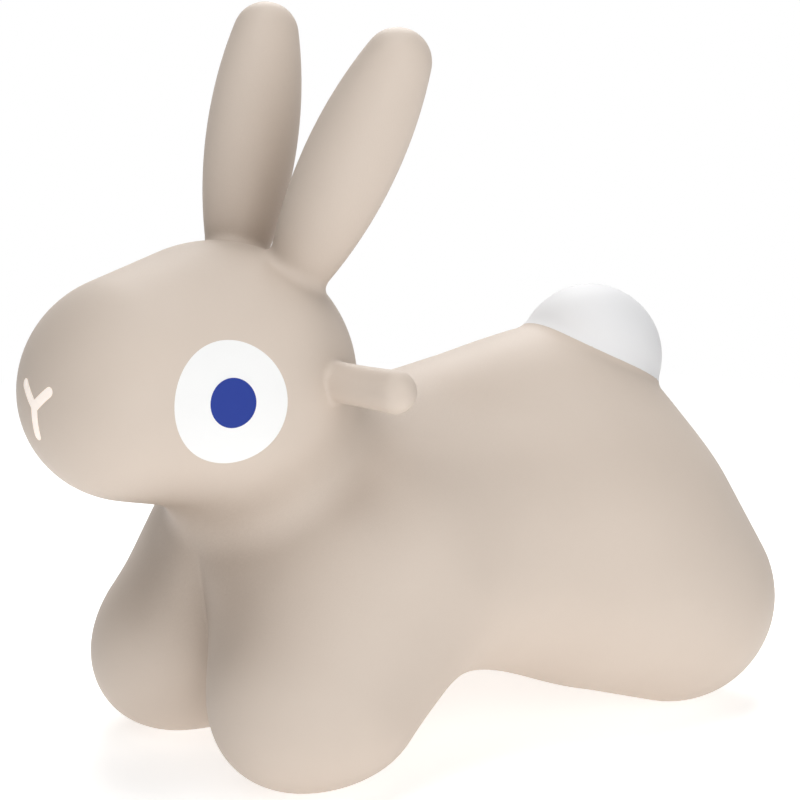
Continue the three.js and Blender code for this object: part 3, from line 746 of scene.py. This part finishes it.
def hopper_skin():
    """The whole moulding in one skin, on a grid that is the same on both sides of the middle plane."""
    half = max(abs(cad_low.x), cad_high.x) + 2 * SKIN_CELL
    steps = math.ceil(half / SKIN_CELL)
    low = [-steps * SKIN_CELL - SKIN_CELL / 2, cad_low.y - 2 * SKIN_CELL, -CELLS_BELOW * SKIN_CELL]
    high = [-low[0], cad_high.y + 2 * SKIN_CELL, cad_high.z + 2 * SKIN_CELL]
    vertices, quads = skinned(skin_form, low, high, SKIN_CELL)
    vertices = relaxed(skin_form, pull_on(skin_form, vertices), quads, RELAX_ROUNDS)
    piece = mesh_object("hopper_skin", vertices, quads, skin_vinyl)
    valve_opening(piece)
    return piece


def settle(piece, body, slot, *nodes):
    """Puts a piece on its body, in place of its solids."""
    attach(piece, body)
    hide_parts(*nodes)


settle(hopper_skin(), "skin", "skin", *SKIN_NODES)
settle(tail_coat("tail_dome", tail_paint), "skin", "tail_coat", "tail_coat")
settle(nose_film("nose_print", nose_ink), "skin", "nose_mark", "nose_mark")
settle(air_plug("air_plug", plug_vinyl), "plug", "plug", "valve_plug")
eye_at, pupil_at = side_point(EYE_YZ), side_point(PUPIL_YZ)
for side_name, side in (("left", 1), ("right", -1)):
    white = oval_film(f"eye_print_{side_name}", eye_at, EYE_SIZE, side, eye_ink)
    settle(white, "skin", "eye_white", f"eye_white_{side_name}")
    pupil = oval_film(f"pupil_print_{side_name}", pupil_at, PUPIL_SIZE, side, pupil_ink, PRINT_LIFT)
    settle(pupil, "skin", "pupil", f"pupil_{side_name}")


# Stage, light and camera

def seen_mask(tree):
    """1 for what the camera, a reflection or a clear piece sees directly, 0 for the rest of the light."""
    path = tree.nodes.new("ShaderNodeLightPath")
    seen = path.outputs["Is Camera Ray"]
    for other in ("Is Glossy Ray", "Is Transmission Ray"):
        seen = maths(tree, "MAXIMUM", seen, path.outputs[other])
    return seen


def mixed(tree, mask, plain, masked):
    mix = tree.nodes.new("ShaderNodeMixShader")
    tree.links.new(mask, mix.inputs["Fac"])
    tree.links.new(plain, mix.inputs[1])
    tree.links.new(masked, mix.inputs[2])
    return mix.outputs["Shader"]


def studio_world():
    """A room that lights the toy a little and is seen as plain white."""
    world = bpy.data.worlds.new("studio")
    bpy.context.scene.world = world
    world.use_nodes = True
    tree = world.node_tree
    fill = tree.nodes["Background"]
    fill.inputs["Strength"].default_value = WORLD_FILL
    fill.inputs["Color"].default_value = WHITE
    white = tree.nodes.new("ShaderNodeBackground")
    white.inputs["Color"].default_value = WHITE
    shown = mixed(tree, seen_mask(tree), fill.outputs["Background"], white.outputs["Background"])
    tree.links.new(shown, tree.nodes["World Output"].inputs["Surface"])


def glow(tree, strength):
    node = tree.nodes.new("ShaderNodeEmission")
    node.inputs["Strength"].default_value = strength
    return node.outputs["Emission"]


def floor():
    """A white light table: it glows softly, keeps the toy's shadow and runs out into plain white."""
    corners = [(x * FLOOR_SIZE, y * FLOOR_SIZE, 0) for x, y in ((-1, -1), (1, -1), (1, 1), (-1, 1))]
    material = bpy.data.materials.new("studio_floor")
    material.use_nodes = True
    tree = material.node_tree
    shader = tree.nodes["Principled BSDF"]
    shader.inputs["Base Color"].default_value = FLOOR_COLOUR
    shader.inputs["Roughness"].default_value = FLOOR_ROUGHNESS
    shader.inputs["Specular IOR Level"].default_value = 0.0
    lit = []
    for strength in (FLOOR_GLOW, FLOOR_WHITE):
        both = tree.nodes.new("ShaderNodeAddShader")
        tree.links.new(shader.outputs["BSDF"], both.inputs[0])
        tree.links.new(glow(tree, strength), both.inputs[1])
        lit.append(both.outputs["Shader"])
    place = tree.nodes.new("ShaderNodeTexCoord")
    away = tree.nodes.new("ShaderNodeVectorMath")
    away.operation = "LENGTH"
    tree.links.new(place.outputs["Object"], away.inputs[0])
    edge = ranged(tree, away.outputs["Value"], FLOOR_SHADE, (0.0, 1.0))
    pale = mixed(tree, edge, lit[1], glow(tree, 1.0))
    shown = mixed(tree, seen_mask(tree), lit[0], pale)
    tree.links.new(shown, tree.nodes["Material Output"].inputs["Surface"])
    mesh_object("studio_floor", np.array(corners), [(0, 1, 2, 3)], material)


def soft_light(name, at, size, power):
    """A round lamp that is turned to the toy."""
    data = bpy.data.lights.new(name, "AREA")
    data.shape = "DISK"
    data.size = size
    data.energy = power
    lamp = bpy.data.objects.new(name, data)
    bpy.context.scene.collection.objects.link(lamp)
    lamp.location = at
    lamp.rotation_euler = (LAMP_AIM - Vector(at)).to_track_quat("-Z", "Y").to_euler()


def camera():
    """The photograph's camera, turned to its aim."""
    (ahead, aside), (level, rise) = turned(CAMERA_AZIMUTH), turned(CAMERA_ELEVATION)
    back = Vector((aside * level, -ahead * level, rise))
    data = bpy.data.cameras.new("photo_view")
    data.angle = math.radians(CAMERA_ANGLE)
    data.clip_end = CAMERA_FAR
    eye = bpy.data.objects.new("photo_view", data)
    bpy.context.scene.collection.objects.link(eye)
    eye.location = CAMERA_AIM + CAMERA_DISTANCE * back
    eye.rotation_euler = (-back).to_track_quat("-Z", "Y").to_euler()
    bpy.context.scene.camera = eye


studio_world()
floor()
camera()
soft_light("top_light", (0, 0, 2.85), size=1.6, power=30)
soft_light("back_light", (-1.65, 1.27, 1.81), size=1.6, power=35)
soft_light("front_light", (2.06, -1.59, 0.25), size=1.6, power=24)
soft_light("side_light", (2.51, -0.11, 0.92), size=3.2, power=25)
soft_light("high_front_light", (0.32, -1.46, 2.38), size=1.6, power=9)
bpy.context.scene.view_settings.view_transform = "Standard"
